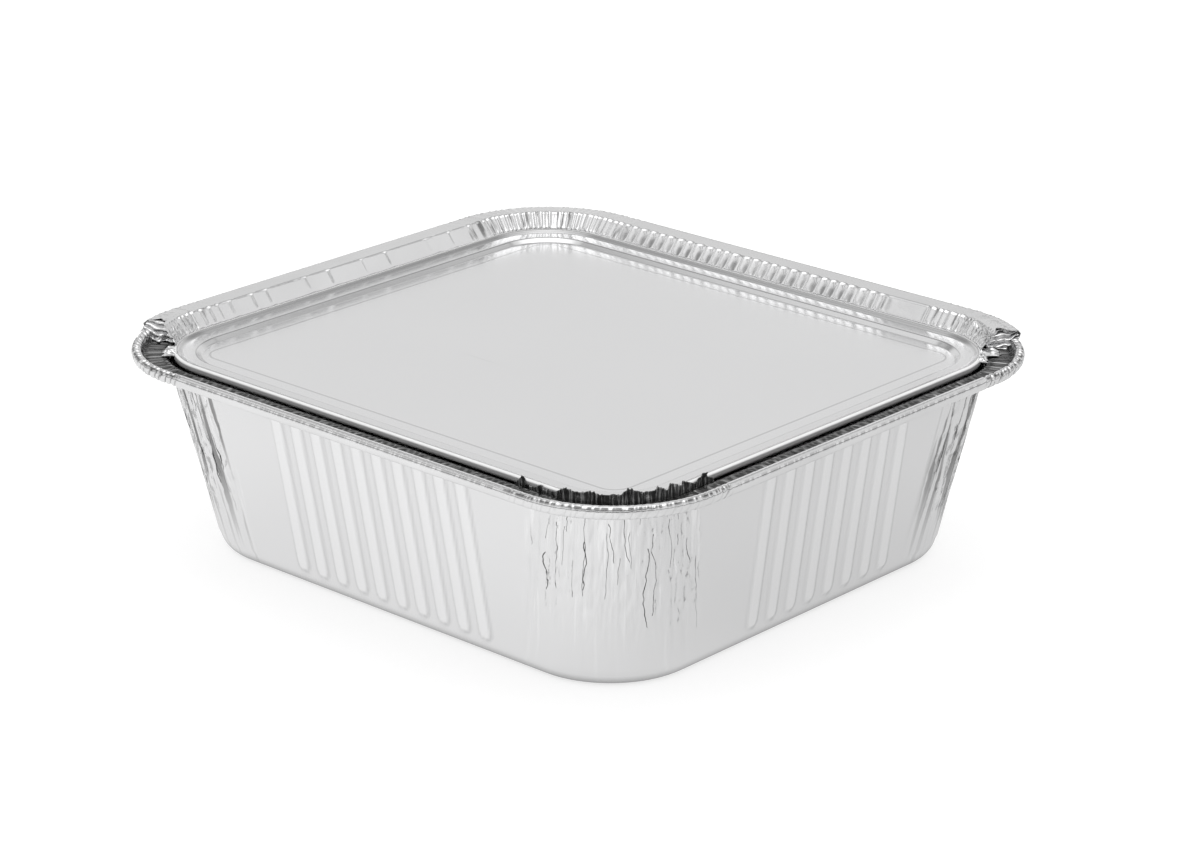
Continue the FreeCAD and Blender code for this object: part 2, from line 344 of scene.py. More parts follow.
# Thin wandering creases that run down the tray's corners, each with its own start and end. They are dented
# and painted near black as shade.
def creaseLines(tree, look, pitch, width, wander, seed):
    along, height, corner = (markOf(tree, name) for name in ("along", "height", "onCorner"))
    slow = noiseAt(over(along, 24.0), over(height, 11.0), seed, 2.0)
    quick = noiseAt(over(along, 9.0), over(height, 2.6), seed, 3.0)
    place = plus(along, times(slow, wander))
    place = plus(place, times(quick, wander * 0.16))
    cells = over(place, pitch)
    number = calc("FLOOR", cells)
    offset = times(calc("ABSOLUTE", minus(calc("FRACT", cells), 0.5)), pitch)
    chances = []
    for step in (0.0, 7.3, 13.9):
        dice = tree.nodes.new("ShaderNodeTexWhiteNoise")
        dice.noise_dimensions = "1D"
        tree.links.new(plus(number, seed + step), dice.inputs["W"])
        chances.append(dice.outputs["Value"])
    top = minus(look["creaseTop"], times(chances[0], look["creaseSpread"]))
    bottom = minus(top, plus(look["creaseShortest"], times(chances[1], look["creaseSpread"])))
    thin = times(plus(quick, 0.3), width)
    line = ramp(offset, thin, times(thin, 0.35))
    inside = times(calc("LESS_THAN", height, top), calc("GREATER_THAN", height, bottom))
    return times(line, inside, ramp(corner, 0.55, 0.8), calc("GREATER_THAN", chances[2], look["creaseGaps"]))


# Foil as a material: satin metal with rolling marks, faint clouding and fine crinkles, with painted light and
# shade where its look gives marks for them.
def foilMaterial(name, look):
    material = bpy.data.materials.new(name)
    material.use_nodes = True
    tree = material.node_tree
    shader = tree.nodes["Principled BSDF"]
    shader.inputs["Metallic"].default_value = look["metal"]
    coords = tree.nodes.new("ShaderNodeTexCoord").outputs["Object"]
    stretch = tree.nodes.new("ShaderNodeMapping")
    stretch.inputs["Scale"].default_value = look["grainStretch"]
    tree.links.new(coords, stretch.inputs["Vector"])
    grain = noiseOf(stretch.outputs[0], look["grainScale"], 4.0, 0.6)
    cloud = noiseOf(coords, look["cloudScale"], 3.0, 0.5)
    tone = ramp(cloud, 0.3, 0.7, 0.0, 1.0, "LINEAR")
    rough = ramp(grain, 0.25, 0.75, look["smoothest"], look["roughest"], "LINEAR")
    tree.links.new(rough, shader.inputs["Roughness"])
    crinkle = noiseOf(coords, look["crinkleScale"], 6.0, 0.65)
    height = plus(times(grain, look["grainHeight"]), times(crinkle, look["crinkleHeight"]))

    def mixed(factor, low, high):
        mix = tree.nodes.new("ShaderNodeMix")
        mix.data_type = "RGBA"
        for index, value in ((0, factor), (6, low), (7, high)):
            feed(mix, index, value)
        return mix.outputs[2]

    color = mixed(tone, look["dark"], look["pale"])
    # Painted light and shade: the shade mark mixes towards shadeColor, a painted highlight on the tray's ribs
    # and painted shade on the other foils.
    if "shade" in look:
        color = mixed(markOf(tree, look["shade"]), color, look["shadeColor"])
    # Painted shade where the edge mark is set (the tray's rib flanks).
    if "edge" in look:
        color = mixed(markOf(tree, look["edge"]), color, look["edgeColor"])
    # Streaks painted paler as reflections.
    if "sheenStripes" in look:
        wide, tall, low, high = look["sheenStripes"]
        sheenStripe = noiseAt(over(markOf(tree, "along"), wide), over(markOf(tree, "height"), tall), 0.0,
                         4.0, 0.65)
        color = mixed(ramp(sheenStripe, low, high), color, look["sheenColor"])
    if "creases" in look:
        along, level, corner = (markOf(tree, name) for name in ("along", "height", "onCorner"))
        wide, tall = look["drape"]
        drape = noiseAt(over(along, wide), over(level, tall), 0.0, 3.0)
        reach = times(ramp(corner, 0.1, 0.75), ramp(level, 3.0, 34.0, 0.15, 1.0))
        # Drapes: painted highlight and painted shade in soft bands down the corners.
        color = mixed(times(ramp(drape, 0.56, 0.66), reach), color, look["drapeHighlight"])
        color = mixed(times(ramp(drape, 0.44, 0.34), reach), color, look["drapeShade"])
        # Bold folds painted dark as shade, at the two end corners only.
        ends = ramp(calc("ABSOLUTE", minus(along, look["frontMiddle"])), 90.0, 110.0)
        wide, tall = look["fold"]
        bold = noiseAt(over(along, wide), over(level, tall), 5.0, 2.0)
        bold = times(ramp(bold, 0.54, 0.62), reach, ends)
        color = mixed(bold, color, look["foldShade"])
        lines = None
        for pitch, width, wander, seed in look["creases"]:
            line = creaseLines(tree, look, pitch, width, wander, seed)
            lines = line if lines is None else calc("MAXIMUM", lines, line)
        # Creases painted near black as shade.
        color = mixed(lines, color, look["creaseShadeColor"])
        height = minus(height, times(lines, look["creaseDeep"]))
    tree.links.new(color, shader.inputs["Base Color"])
    bump = tree.nodes.new("ShaderNodeBump")
    bump.inputs["Strength"].default_value = look["bump"]
    bump.inputs["Distance"].default_value = 0.3 * mm
    tree.links.new(height, bump.inputs["Height"])
    tree.links.new(bump.outputs[0], shader.inputs["Normal"])
    return material


trayFoil = foilMaterial("trayFoil", {
    "metal": 0.95, "grainStretch": (1.0, 1.0, 0.15), "grainScale": 900.0, "cloudScale": 12.0,
    "dark": (0.86, 0.86, 0.865, 1), "pale": (0.89, 0.89, 0.895, 1),
    "smoothest": 0.25, "roughest": 0.27, "crinkleScale": 60.0,
    "grainHeight": 0.0, "crinkleHeight": 0.05, "bump": 0.05,
    # Painted light: rib crests pale as a highlight, rib flanks dark as shade.
    "shade": "ribCrestLight", "shadeColor": (0.955, 0.955, 0.96, 1),
    "edge": "ribFlankShade", "edgeColor": (0.66, 0.66, 0.665, 1),
    # Creases in three sizes: pitch, width, wander and seed.
    "creases": [(7.5, 0.26, 7.0, 3.0), (5.1, 0.19, 6.0, 21.0), (3.9, 0.13, 4.0, 47.0)],
    "creaseTop": 56.0, "creaseSpread": 22.0, "creaseShortest": 3.0, "creaseGaps": 0.35, "creaseDeep": 5.0,
    "creaseShadeColor": (0.02, 0.02, 0.02, 1),
    # Soft drapes painted pale as highlight and dark as shade, and bold folds painted dark as shade: width and
    # height. The front corner's middle is a place along the rim.
    "drape": (2.4, 30.0), "fold": (3.1, 60.0), "frontMiddle": 27.0,
    "drapeShade": (0.84, 0.84, 0.845, 1), "drapeHighlight": (0.97, 0.97, 0.975, 1),
    "foldShade": (0.30, 0.30, 0.30, 1),
})
# Rim foil: its mark darkens the foil to near black as painted shade and painted dark reflection.
rimFoil = foilMaterial("rimFoil", {
    "metal": 0.95, "grainStretch": (1.0, 1.0, 1.0), "grainScale": 700.0, "cloudScale": 30.0,
    "dark": (0.84, 0.84, 0.845, 1), "pale": (0.93, 0.93, 0.935, 1),
    "smoothest": 0.10, "roughest": 0.20, "crinkleScale": 500.0,
    "grainHeight": 0.2, "crinkleHeight": 0.5, "bump": 0.1,
    "shade": "rimShade", "shadeColor": (0.10, 0.10, 0.10, 1),
})
# Lid foil: its line mark paints shade along the embossed line and the bends.
lidFoil = foilMaterial("lidFoil", {
    "metal": 0.95, "grainStretch": (0.2, 1.0, 1.0), "grainScale": 1500.0, "cloudScale": 6.0,
    "dark": (0.79, 0.79, 0.795, 1), "pale": (0.82, 0.82, 0.825, 1),
    "smoothest": 0.15, "roughest": 0.19, "crinkleScale": 900.0,
    "grainHeight": 0.05, "crinkleHeight": 0.05, "bump": 0.02,
    "shade": "line", "shadeColor": (0.20, 0.20, 0.20, 1),
})
# Collar foil: its slot mark darkens it as painted shade.
collarFoil = foilMaterial("collarFoil", {
    "metal": 0.95, "grainStretch": (1.0, 1.0, 1.0), "grainScale": 800.0, "cloudScale": 40.0,
    "dark": (0.84, 0.84, 0.845, 1), "pale": (0.92, 0.92, 0.925, 1),
    "smoothest": 0.12, "roughest": 0.22, "crinkleScale": 300.0,
    "grainHeight": 0.1, "crinkleHeight": 0.4, "bump": 0.12,
    "shade": "slot", "shadeColor": (0.30, 0.30, 0.30, 1),
})
# Hem foil: near white and barely metal as a painted highlight; its line mark paints the face grey as shade.
hemHighlightFoil = foilMaterial("hemHighlightFoil", {
    "metal": 0.05, "grainStretch": (1.0, 1.0, 1.0), "grainScale": 800.0, "cloudScale": 200.0,
    "dark": (0.94, 0.94, 0.94, 1), "pale": (1.0, 1.0, 1.0, 1),
    "smoothest": 0.30, "roughest": 0.40, "crinkleScale": 420.0,
    "grainHeight": 0.2, "crinkleHeight": 0.3, "bump": 0.1,
    "shade": "line", "shadeColor": (0.42, 0.42, 0.42, 1),
})
# Crown foil: painted near black as shade, with paler streaks painted as reflections.
crownShadeFoil = foilMaterial("crownShadeFoil", {
    "metal": 0.60, "grainStretch": (1.0, 1.0, 0.3), "grainScale": 800.0, "cloudScale": 300.0,
    "dark": (0.03, 0.03, 0.03, 1), "pale": (0.09, 0.09, 0.09, 1),
    "smoothest": 0.14, "roughest": 0.24, "crinkleScale": 420.0,
    "grainHeight": 0.1, "crinkleHeight": 0.2, "bump": 0.1,
    "sheenStripes": (0.8, 9.0, 0.48, 0.62), "sheenColor": (0.45, 0.45, 0.45, 1),
})
print("materials made")

# Tray walls: flat base, rounded bottom edge and sloping sides.
walls = {
    "lean": 8.5, "baseCorner": 26.0, "baseRound": 5.0, "topHeight": 54.3, "foil": 0.3,
    "ribWidth": 4.5, "ribHeight": 0.5, "ribPitch": 7.55, "shortPitch": 7.75, "ribFoot": 7.5, "ribHead": 52.0,
    "ribEdge": 0.9, "baseRings": (40.0, 26.0, 14.0, 6.0), "roundSteps": 9, "wallSteps": 44,
    "cornerStep": 0.62, "sideStep": 0.72, "frontFade": (62.0, 52.0),   # places along the rim
    "longCount": 10, "shortCount": 8,
    "nearShift": 1.9, "nearLean": -0.041, "sideShift": 3.6, "sideLean": -0.026,
    "foldDepth": 0.6, "foldWidth": 4.2, "creaseDepth": 0.5, "creaseWidth": 2.6, "seed": 4.0,
    "foldRun": 34.0, "creaseRun": 16.0, "foldRise": (6.0, 26.0), "endStrength": 2.6, "frontStrength": 0.7,
}


def wallSection():
    section = []
    topInset = rim["mouth"]
    baseInset = topInset + walls["lean"]
    slope = walls["lean"] / walls["topHeight"]
    tilt = math.atan(slope)
    radius = walls["baseRound"]
    # Centre of the bottom round, so that it touches the floor and the sloping wall.
    centreInset = baseInset + radius * (1 - math.sin(tilt)) / math.cos(tilt)
    for extra in walls["baseRings"]:
        section.append((centreInset + extra, 0.0, max(walls["baseCorner"] - extra - radius, 0.5)))
    for k in range(walls["roundSteps"] + 1):
        angle = (math.pi / 2 - tilt) * k / walls["roundSteps"]
        inset = centreInset - radius * math.sin(angle)
        height = radius * (1 - math.cos(angle))
        section.append((inset, height, walls["baseCorner"] - (inset - baseInset)))
    startHeight = section[-1][1]
    for k in range(1, walls["wallSteps"] + 1):
        height = startHeight + (walls["topHeight"] - startHeight) * k / walls["wallSteps"]
        share = height / walls["topHeight"]
        radiusHere = walls["baseCorner"] + (rim["corner"] - topInset - walls["baseCorner"]) * share
        section.append((baseInset - walls["lean"] * share, height, radiusHere))
    return section


def buildWalls():
    section = wallSection()
    middle = walls["topHeight"] / 2
    rows = []
    for spot in wholeLoop(walls["cornerStep"], walls["sideStep"]):
        row = []
        for inset, height, radius in section:
            # The two rows of ribs that the photograph shows stand off the middle and lean a little.
            shift = 0.0
            if spot["corner"] == "left":
                shift = walls["nearShift"] + walls["nearLean"] * (height - middle)
            elif spot["corner"] == "front":
                shift = walls["sideShift"] + walls["sideLean"] * (height - middle)
            row.append(pointOf(spot, inset, height, radius, ribShift=shift))
        rows.append(row)
    piece = foilSheet("trayWalls", rows, True, False, cap=True)
    sizes = picked(walls, "ribWidth ribHeight ribPitch shortPitch ribFoot ribHead ribEdge longCount "
                          "shortCount foldDepth foldWidth foldRun creaseDepth creaseWidth creaseRun "
                          "endStrength frontStrength seed")
    tree, start, ids = newGeometryTree("wallPressing", sizes)
    size = start.outputs
    kind = factOf(tree, "sideKind")
    height = factOf(tree, "height")
    along = factOf(tree, "along")
    # Long sides are kinds 2 and 4, short sides 1 and 3, corners 0.
    onSide = calc("GREATER_THAN", kind, 0.5)
    isLong = calc("LESS_THAN", calc("MODULO", kind, 2.0), 0.5)
    extra = minus(size["longCount"], size["shortCount"])
    count = plus(size["shortCount"], times(extra, isLong))
    across = minus(factOf(tree, "sideX"), factOf(tree, "ribShift"))
    wider = minus(size["ribPitch"], size["shortPitch"])
    pitch = plus(size["shortPitch"], times(wider, isLong))
    turn = plus(over(across, pitch), times(count, 0.5))
    inside = times(calc("GREATER_THAN", turn, 0.0), calc("LESS_THAN", turn, count))
    offMiddle = minus(calc("FRACT", turn), 0.5)
    rightHand = calc("GREATER_THAN", offMiddle, 0.0)
    offMiddle = times(calc("ABSOLUTE", offMiddle), pitch)
    below = calc("MAXIMUM", minus(size["ribFoot"], height), 0.0)
    above = calc("MAXIMUM", minus(height, size["ribHead"]), 0.0)
    beyond = plus(below, above)
    reach = calc("SQRT", plus(times(offMiddle, offMiddle), times(beyond, beyond)))
    halfWidth = times(size["ribWidth"], 0.5)
    rib = ramp(reach, plus(halfWidth, size["ribEdge"]), minus(halfWidth, size["ribEdge"]))
    rib = times(rib, inside, onSide, size["ribHeight"])
    # Soft folds and sharper pleats run down from the rim at the corners.
    corner = factOf(tree, "onCorner")
    rise = times(ramp(height, *walls["foldRise"]), corner)
    fold = noiseAt(over(along, size["foldWidth"]), over(height, size["foldRun"]), size["seed"], 2.0)
    # The front corner is drawn smoother than the two at the ends of the view.
    frontCorner = ramp(along, *walls["frontFade"])
    softer = minus(size["endStrength"], size["frontStrength"])
    strength = minus(size["endStrength"], times(frontCorner, softer))
    fold = times(minus(fold, 0.5), strength, size["foldDepth"])
    ridge = noiseAt(over(along, size["creaseWidth"]), over(height, size["creaseRun"]),
                    plus(size["seed"], 9.0), 3.0)
    ridge = calc("ABSOLUTE", minus(ridge, 0.5))
    ridge = times(ramp(ridge, 0.05, 0.0), size["creaseDepth"])
    lift = times(minus(fold, ridge), rise)
    ribCrestLight = over(rib, size["ribHeight"])
    # Painted shade down a rib's edges, stronger on one of them; the crest is painted pale as a highlight.
    flankShade = times(ribCrestLight, minus(1.0, ribCrestLight), 4.0)
    flankShade = times(flankShade, plus(0.35, times(rightHand, 0.4)))
    finishGeometryTree(tree, start, plus(rib, lift), trayFoil,
                       {"ribCrestLight": ribCrestLight, "ribFlankShade": flankShade})
    runTree(piece, tree, ids, sizes)
    thicken(piece, walls["foil"])
    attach(piece, "root")
    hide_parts("tray")
    print("tray walls", len(piece.data.polygons))


# Rim: turn at the mouth, ledge with fine flutes, and the rolled edge with rope-like pleats at the corners.
rimPress = {
    "foil": 0.25, "mouthRound": 1.2, "rootRound": 0.6, "curl": 285.0, "hang": 1.5,
    "flutePitch": 2.3, "fluteHeight": 0.22, "pleatPitch": 2.2, "pleatHeight": 0.44, "slant": 0.2,
    "straightPleat": 0.03, "seed": 2.0, "streakWidth": 1.9, "streakReach": 5.6, "streakSwing": 13.0,
    "dashSide": 13.2, "dashCorner": 12.75, "dashWidth": 0.16, "dashLength": 1.7,
    # Thin lines along the straight parts: distance over the sheet from the mouth, and half width.
    "sideLines": [(12.45, 0.22), (15.3, 0.3)],
    "sideLineTone": 0.42, "valleyTone": 0.85, "endReach": 4.5,
    # Distances over the sheet from the mouth, where the ledge's flutes and the rolled edge's pleats begin.
    "ledgeFrom": (1.6, 3.0), "ledgeTo": (8.0, 6.8), "beadFrom": (8.6, 9.8),
    "cornerStep": 0.30, "sideStep": 0.36, "clear": 0.06, "frontFade": (60.0, 54.0),
}


def rimSection():
    radius = rim["bead"] / 2 - rimPress["clear"]
    middle = rim["bead"] / 2
    section = []
    turn = rimPress["mouthRound"]
    turnInset = rim["mouth"] + walls["foil"] - turn
    for k in range(5):
        angle = math.radians(90 * k / 4)
        section.append((turnInset + turn * math.cos(angle), rim["ledge"] - turn + turn * math.sin(angle)))
    rootInset = rim["bead"] + rimPress["rootRound"]
    for k in range(1, 5):
        section.append((turnInset + (rootInset - turnInset) * k / 4, rim["ledge"]))
    for k in range(13):
        angle = math.radians(-25 + (rimPress["curl"] + 25) * k / 12)
        # The curl hangs a little lower than a round one.
        hang = 1.0 if angle < math.pi else rimPress["hang"]
        section.append((middle + radius * math.cos(angle),
                        rim["ledge"] + middle + radius * hang * math.sin(angle)))
    return section


def buildRim():
    section = rimSection()
    spots = wholeLoop(rimPress["cornerStep"], rimPress["sideStep"])
    rows = [[pointOf(spot, inset, height) for inset, height in section] for spot in spots]
    piece = foilSheet("trayRim", rows, True, True)
    sizes = picked(rimPress, "flutePitch fluteHeight pleatPitch pleatHeight slant straightPleat seed "
                             "streakWidth streakReach streakSwing endReach dashSide dashCorner dashWidth "
                             "dashLength sideLineTone valleyTone")
    tree, start, ids = newGeometryTree("rimPressing", sizes)
    size = start.outputs
    along = factOf(tree, "along")
    across = factOf(tree, "across")
    corner = factOf(tree, "onCorner")
    # The front corner is crinkled finely, the two end corners are pleated like rope.
    frontCorner = ramp(along, *rimPress["frontFade"])
    onLedge = times(ramp(across, *rimPress["ledgeFrom"]), ramp(across, *rimPress["ledgeTo"]))
    wander = noiseAt(over(along, 4.0), 0.0, size["seed"], 2.0)
    fluteAt = plus(over(along, size["flutePitch"]), times(wander, 3.0))
    flute = times(calc("SINE", times(fluteAt, math.tau)), size["fluteHeight"], onLedge)
    onBead = ramp(across, *rimPress["beadFrom"])
    sway = noiseAt(over(along, 5.0), 3.0, size["seed"], 2.0)
    pleatAt = plus(over(along, size["pleatPitch"]), times(sway, 3.5), times(across, size["slant"]))
    wave = calc("ABSOLUTE", calc("SINE", times(pleatAt, math.pi)))
    deep = times(ramp(corner, 0.45, 1.0), size["pleatHeight"], minus(1.0, times(frontCorner, 0.88)))
    pleat = times(minus(wave, 1.0), plus(deep, size["straightPleat"]), onBead)
    # Painted shade in streaks on the ledge, wide at the mouth and pointed towards the rolled edge.
    ragged = noiseAt(over(along, size["streakWidth"]), 7.0, size["seed"], 4.0, 0.7)
    endCorner = times(ramp(corner, 0.3, 0.9), minus(1.0, frontCorner))
    reachOut = plus(size["streakReach"], times(minus(ragged, 0.5), size["streakSwing"]),
                    times(endCorner, size["endReach"]))
    rimShade = ramp(minus(across, reachOut), 0.5, -0.7)
    rimShade = times(rimShade, ramp(ragged, 0.66, 0.5, 0.6, 1.0), minus(1.0, onBead))

    def lineAt(middle, half):
        return ramp(over(calc("ABSOLUTE", minus(across, middle)), half), 1.0, 0.4)

    # Painted dark reflection in broken dashes along the outside of the rolled edge, bold at the front corner.
    broken = noiseAt(over(along, size["dashLength"]), 11.0, size["seed"], 3.0)
    dashAt = ramp(corner, 0.2, 0.9)
    dashAt = plus(size["dashSide"], times(dashAt, minus(size["dashCorner"], size["dashSide"])))
    half = times(size["dashWidth"], ramp(corner, 0.3, 0.9, 1.0, 4.0))
    dash = times(lineAt(dashAt, half), ramp(broken, 0.46, 0.51), ramp(corner, 0.2, 0.9, 0.45, 1.0))
    # Two thin lines of painted shade along the straight parts, and painted shade in the valleys between the
    # pleats.
    lines = plus(*[lineAt(*line) for line in rimPress["sideLines"]])
    dash = calc("MAXIMUM", dash, times(lines, size["sideLineTone"], ramp(corner, 0.9, 0.3)))
    deepest = ramp(corner, 0.45, 0.9, 0.0, size["valleyTone"])
    valley = times(ramp(wave, 0.42, 0.08), deepest, ramp(across, 9.0, 10.0))
    valley = times(valley, minus(1.0, times(frontCorner, 0.85)))
    rimShade = calc("MAXIMUM", calc("MAXIMUM", rimShade, dash), valley)
    finishGeometryTree(tree, start, plus(flute, pleat), rimFoil, {"rimShade": rimShade})
    runTree(piece, tree, ids, sizes)
    thicken(piece, rimPress["foil"])
    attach(piece, "root")
    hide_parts("tray")
    print("tray rim", len(piece.data.polygons))


# Lid: panel with an engraved line, step and sloping bands, and the hem bent down at its edge.
lid = {
    "foil": 0.25, "outerBand": 2.0, "outerDrop": 0.72, "innerBand": 3.4, "innerDrop": 0.28,
    "stepWidth": 1.6, "stepDrop": 1.0, "lineGap": 4.25, "lineWidth": 0.7, "lineDepth": 0.03,
    # Lines painted dark as shade at the embossed line and the bends: distance from the foot, half width and
    # depth of tone.
    "lines": [(11.25, 0.5, 0.42), (5.4, 0.25, 0.4), (1.1, 0.9, 0.4)],
    "tighten": 5.0,     # how much sharper the embossed line turns its corners
    "hemReach": 0.7, "hemDrop": 1.7, "sag": 0.25, "softBend": 0.3,
    "innerRings": (46.0, 34.0, 24.0, 15.0, 8.0, 3.0), "tightenFrom": 6.5, "tightenFull": 11.0,
    "sagFrom": 30.0, "sagFull": 74.0, "sagPitch": 60.0,
    "cornerStep": 0.9, "sideStep": 1.6, "hemCornerStep": 0.6, "hemSideStep": 1.2,
}


# Rounds each bend of an open line with a short curve.
def softened(points, reach, steps=3):
    result = [points[0]]
    for before, here, after in zip(points, points[1:], points[2:]):
        toBefore = Vector(before) - Vector(here)
        toAfter = Vector(after) - Vector(here)
        size = min(reach, toBefore.length * 0.45, toAfter.length * 0.45)
        start = Vector(here) + toBefore.normalized() * size
        end = Vector(here) + toAfter.normalized() * size
        # A point just off each bend keeps the flats beside it flat when shaded.
        result.append(tuple(start + toBefore.normalized() * min(0.12, toBefore.length * 0.04)))
        for k in range(steps + 1):
            t = k / steps
            result.append(tuple((1 - t) ** 2 * start + 2 * t * (1 - t) * Vector(here) + t * t * end))
        result.append(tuple(end + toAfter.normalized() * min(0.12, toAfter.length * 0.04)))
    result.append(points[-1])
    return result


def lidSection():
    foot = rim["foot"]
    bandInset = foot + lid["outerBand"]
    stepInset = bandInset + lid["innerBand"]
    panelInset = stepInset + lid["stepWidth"]
    bandHeight = rim["footHeight"] - lid["outerDrop"]
    stepHeight = bandHeight - lid["innerDrop"]
    panelHeight = stepHeight - lid["stepDrop"]
    line = panelInset + lid["lineGap"]
    half = lid["lineWidth"] / 2
    flat = [(line + half + 3.0, panelHeight), (line + half, panelHeight),
            (line, panelHeight - lid["lineDepth"]), (line - half, panelHeight),
            (panelInset + 1.5, panelHeight)]
    bends = [flat[-1], (panelInset, panelHeight), (stepInset, stepHeight), (bandInset, bandHeight),
             (foot + 0.3, rim["footHeight"]), (foot, rim["footHeight"])]
    return flat + softened(bends, lid["softBend"])[1:]


# Adds points to a section where the lines start, peak and end.
def withStops(section, stops):
    result = [section[0]]
    for here, there in zip(section, section[1:]):
        between = sorted((s for s in stops if min(here[0], there[0]) < s < max(here[0], there[0])),
                         reverse=there[0] < here[0])
        for stop in between:
            share = (stop - here[0]) / (there[0] - here[0])
            result.append((stop, here[1] + (there[1] - here[1]) * share))
        result.append(there)
    return result


def lineShade(inset):
    tones = [depth * max(0.0, 1 - abs(inset - rim["foot"] - gap) / half) for gap, half, depth in lid["lines"]]
    return max(tones)


def buildPanel():
    section = lidSection()
    stops = [rim["foot"] + gap + side * half for gap, half, depth in lid["lines"] for side in (-1, 0, 1)]
    inner = [(section[0][0] + gap, section[0][1]) for gap in lid["innerRings"]]
    whole = withStops(inner + section, stops)
    rows = []
    for spot in wholeLoop(lid["cornerStep"], lid["sideStep"]):
        row = []
        for inset, height in whole:
            sharper = lid["tighten"] * smooth(inset - rim["foot"], lid["tightenFrom"], lid["tightenFull"])
            radius = max(rim["corner"] - inset - sharper, 0.6)
            row.append(pointOf(spot, inset, height, radius))
        rows.append(row)
    piece = foilSheet("lidPanel", rows, True, True, cap=True)
    # Painted shade along the lines, kept as the line mark.
    tones = [lineShade(inset) for inset, height in whole] * len(rows)
    piece.data.attributes.new("line", "FLOAT", "POINT").data.foreach_set("value", tones)
    # The panel isn't dead flat: it waves softly, as thin sheet does.
    for vertex in piece.data.vertices:
        x, y = vertex.co.x / mm, vertex.co.y / mm
        inside = min(rim["length"] / 2 - abs(x), rim["width"] / 2 - abs(y))
        swell = noise.noise(Vector((x / lid["sagPitch"], y / lid["sagPitch"], 3.0)))
        vertex.co.z += mm * lid["sag"] * smooth(inside, lid["sagFrom"], lid["sagFull"]) * swell
    piece.data.materials.append(lidFoil)
    thicken(piece, lid["foil"])
    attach(piece, "root")
    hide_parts("lid")
    print("lid panel", len(piece.data.polygons))


# Hem: the lid's edge bent down, with a painted highlight on its top and painted shade on its face.
def buildHem():
    foot, top = rim["foot"], rim["footHeight"]
    reach, drop = lid["hemReach"], lid["hemDrop"]
    # Inset, height and depth of painted shade at each point of the bend.
    section = [(foot + 0.5, top, 1.0), (foot + 0.2, top + 0.02, 0.9), (foot, top + 0.03, 0.1),
               (foot - 0.35, top - 0.07, 0.0), (foot - reach + 0.1, top - 0.25, 0.25),
               (foot - reach, top - 0.45, 0.9), (foot - reach, top - 0.6, 1.0),
               (foot - reach, top - 1.1, 1.0), (foot - reach + 0.05, top - drop, 1.0)]
    spots = wholeLoop(lid["hemCornerStep"], lid["hemSideStep"])
    rows = [[pointOf(spot, inset, height) for inset, height, tone in section] for spot in spots]
    piece = foilSheet("lidHem", rows, True, True)
    tones = [tone for inset, height, tone in section] * len(rows)
    piece.data.attributes.new("line", "FLOAT", "POINT").data.foreach_set("value", tones)
    piece.data.materials.append(hemHighlightFoil)
    thicken(piece, lid["foil"])
    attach(piece, "root")
    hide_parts("lid")
    print("lid hem", len(piece.data.polygons))


# Lid's collar: the wall, flange and skirt left on the two far sides, torn at both ends.
collar = {
    "foil": 0.2, "wallRun": 3.8, "wallRise": 4.35, "flangeDrop": 1.0, "skirtGap": 0.3, "skirtRound": 0.6,
    "skirtDepth": 3.6,
    "leftEnd": 38.0, "leftFlange": 19.0, "rightEnd": 45.0, "rightFlange": 34.0, "jag": 3.0,
    "pleatPitch": 2.3, "pleatHeight": 0.34, "flutePitch": 3.6, "fluteHeight": 0.34,
    "ripplePitch": 12.0, "rippleHeight": 0.35, "seed": 7.0, "tearSeed": 11,
    "cornerStep": 0.34, "flutedStep": 0.5, "rippledStep": 0.8, "topClear": 0.12, "middleInset": 8.0,
    # Distances over the sheet from the foot, where the wall's pressing begins and ends and the flange begins.
    "wallFrom": (0.0, 1.0), "wallTo": (6.6, 5.4), "topFrom": (5.2, 6.2),
    "fluteFade": (-46.0, -34.0), "flangeTopShade": 0.22,
}


def collarSection():
    foot = rim["foot"]
    top = (foot - collar["wallRun"], rim["footHeight"] + collar["wallRise"])
    edge = -collar["skirtGap"]
    outer = (edge + collar["skirtRound"], top[1] - collar["flangeDrop"])
    shoulder = (edge, outer[1] - collar["skirtRound"])
    hem = (edge, outer[1] - collar["skirtDepth"])

    def between(start, end):
        return [(start[0] + (end[0] - start[0]) * k / 8, start[1] + (end[1] - start[1]) * k / 8)
                for k in range(8)]

    flangePoints = between(top, outer)
    flangePoints[0] = (top[0] + 0.12, top[1] - 0.1)     # the fold between wall and flange is a little round
    skirtPoints = [outer, (edge + 0.2, shoulder[1] + 0.28), shoulder, (edge, (shoulder[1] + hem[1]) / 2), hem]
    return between((foot, rim["footHeight"]), top) + flangePoints + skirtPoints


def collarRows(section):
    # The torn ends reach further along the wall than along the flange and skirt.
    dice = random.Random(collar["tearSeed"])
    width = len(section)
    ends = {"left": [], "right": []}
    for j in range(width):
        share = smooth(j / (width - 1), 0.25, 0.6)
        for side in ("left", "right"):
            atWall, atFlange = collar[side + "End"], collar[side + "Flange"]
            ends[side].append(atWall + (atFlange - atWall) * share + dice.uniform(-1, 1) * collar["jag"])
    rows = []

    def addRows(length, step, spotAt, last=0):
        count = round(length / step)
        for k in range(count + last):
            rows.append([pointOf(spotAt(k / count, j), *section[j]) for j in range(width)])

    arc = math.radians(1) * (rim["corner"] - collar["middleInset"])     # length of one degree
    step = collar["cornerStep"]
    addRows(max(ends["right"]) * arc, step,
            lambda share, j: station("right", turn=90 - ends["right"][j] * (1 - share)))
    addRows(rim["length"] - 2 * rim["corner"], collar["flutedStep"],
            lambda share, j: station("right", fraction=share))
    addRows(90 * arc, step, lambda share, j: station("back", turn=90 * share))
    addRows(rim["width"] - 2 * rim["corner"], collar["rippledStep"],
            lambda share, j: station("back", fraction=share))
    addRows(max(ends["left"]) * arc, step, lambda share, j: station("left", turn=ends["left"][j] * share), 1)
    return rows


